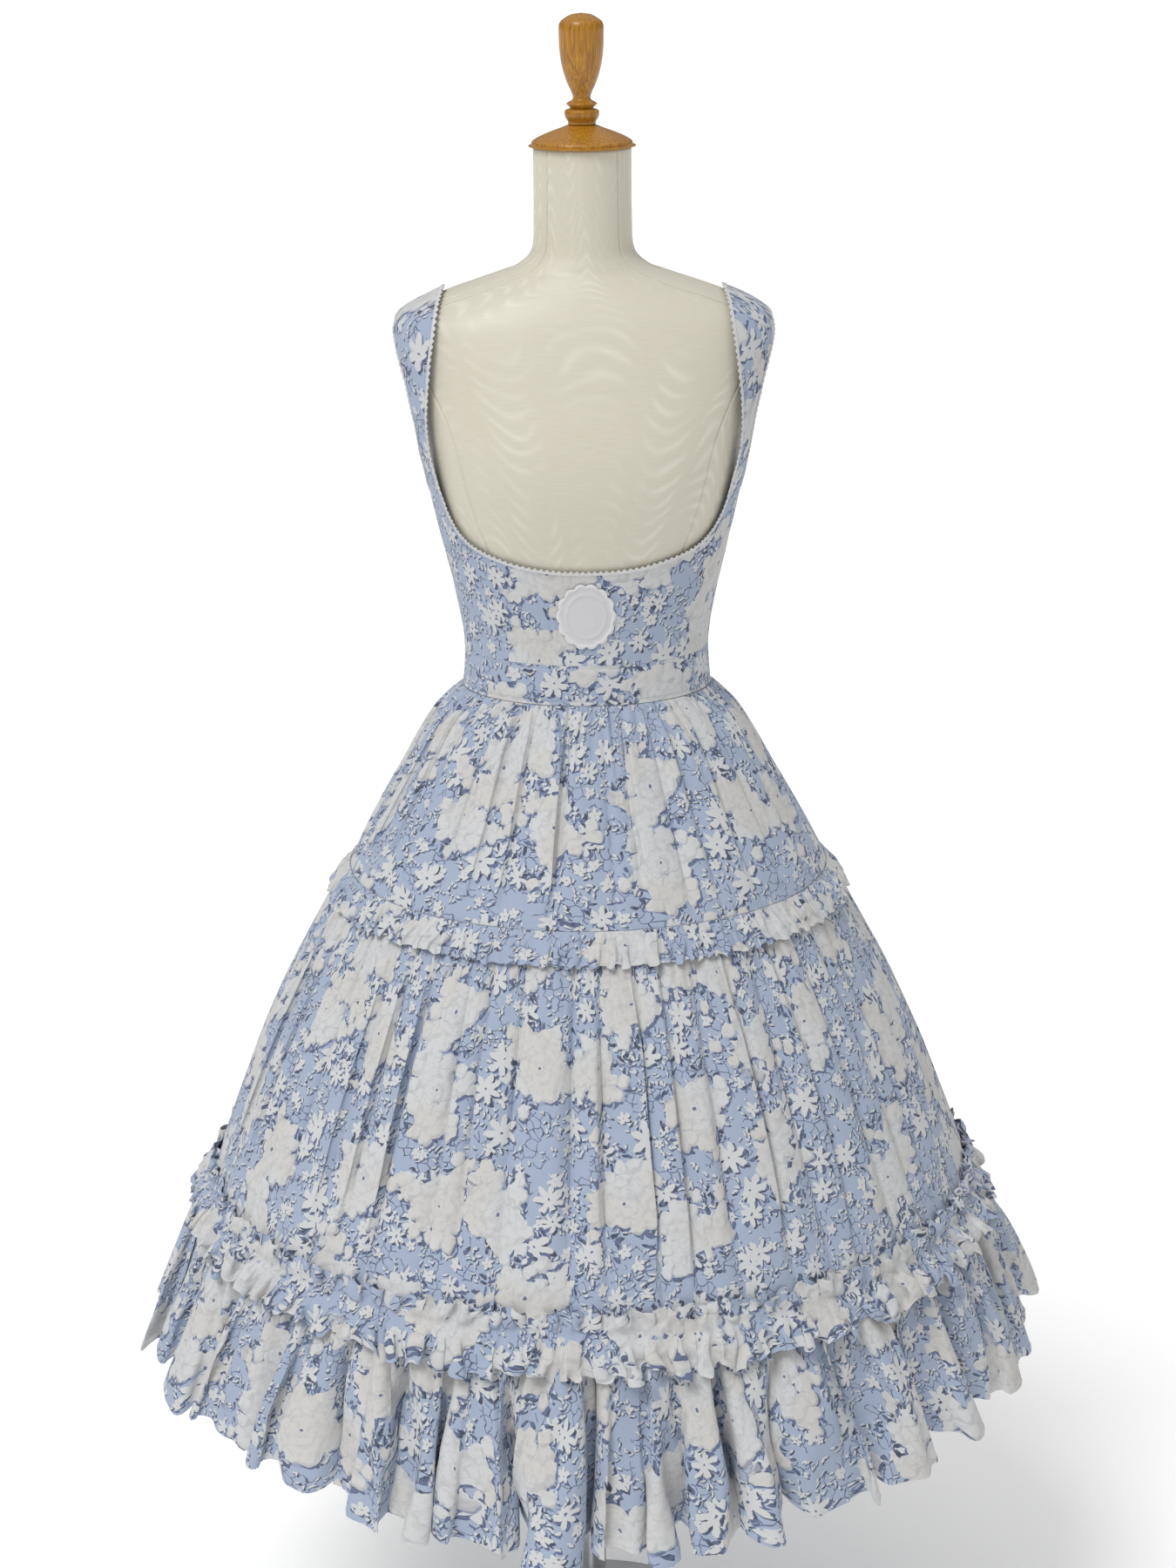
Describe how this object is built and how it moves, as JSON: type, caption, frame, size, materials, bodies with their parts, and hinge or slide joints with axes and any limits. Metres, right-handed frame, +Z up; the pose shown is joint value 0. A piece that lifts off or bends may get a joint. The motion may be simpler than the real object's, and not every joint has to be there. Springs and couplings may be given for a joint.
{
  "type": "pinafore dress on a limbless dress form with a stand",
  "caption": "Sleeveless cotton pinafore dress with a deep scoop neck, a fitted bodice and a gathered, frilled tiered skirt, worn by a padded dress form on a stand.",
  "frame": {"origin": "on the floor, at the middle of the stand's round base", "axes": "+Z up along the pole, -Y towards the front of the dress, +X towards the viewer's right"},
  "size_m": [0.934, 0.9195, 1.744],
  "materials": {
    "printed_cotton": "matte",
    "patch_cotton": "matte",
    "moire_cover": "satin",
    "varnished_beech": "varnished",
    "stand_steel": "satin"
  },
  "bodies": {
    "root": {"bodice_front": "printed_cotton", "bodice_back_right": "printed_cotton", "bodice_back_left": "printed_cotton", "waistband_front": "printed_cotton", "waistband_back_right": "printed_cotton", "waistband_back_left": "printed_cotton", "tier_upper_front": "printed_cotton", "tier_upper_back": "printed_cotton", "tier_middle_front": "printed_cotton", "tier_middle_back": "printed_cotton", "tier_hem_front": "printed_cotton", "tier_hem_back": "printed_cotton", "frill_upper_front": "printed_cotton", "frill_upper_back": "printed_cotton", "frill_lower_front": "printed_cotton", "frill_lower_back": "printed_cotton", "bodice_patch": "patch_cotton", "form_torso": "moire_cover", "neck_cap": "varnished_beech", "neck_finial": "varnished_beech", "stand_pole": "stand_steel", "stand_base": "stand_steel"}
  },
  "joints": []
}
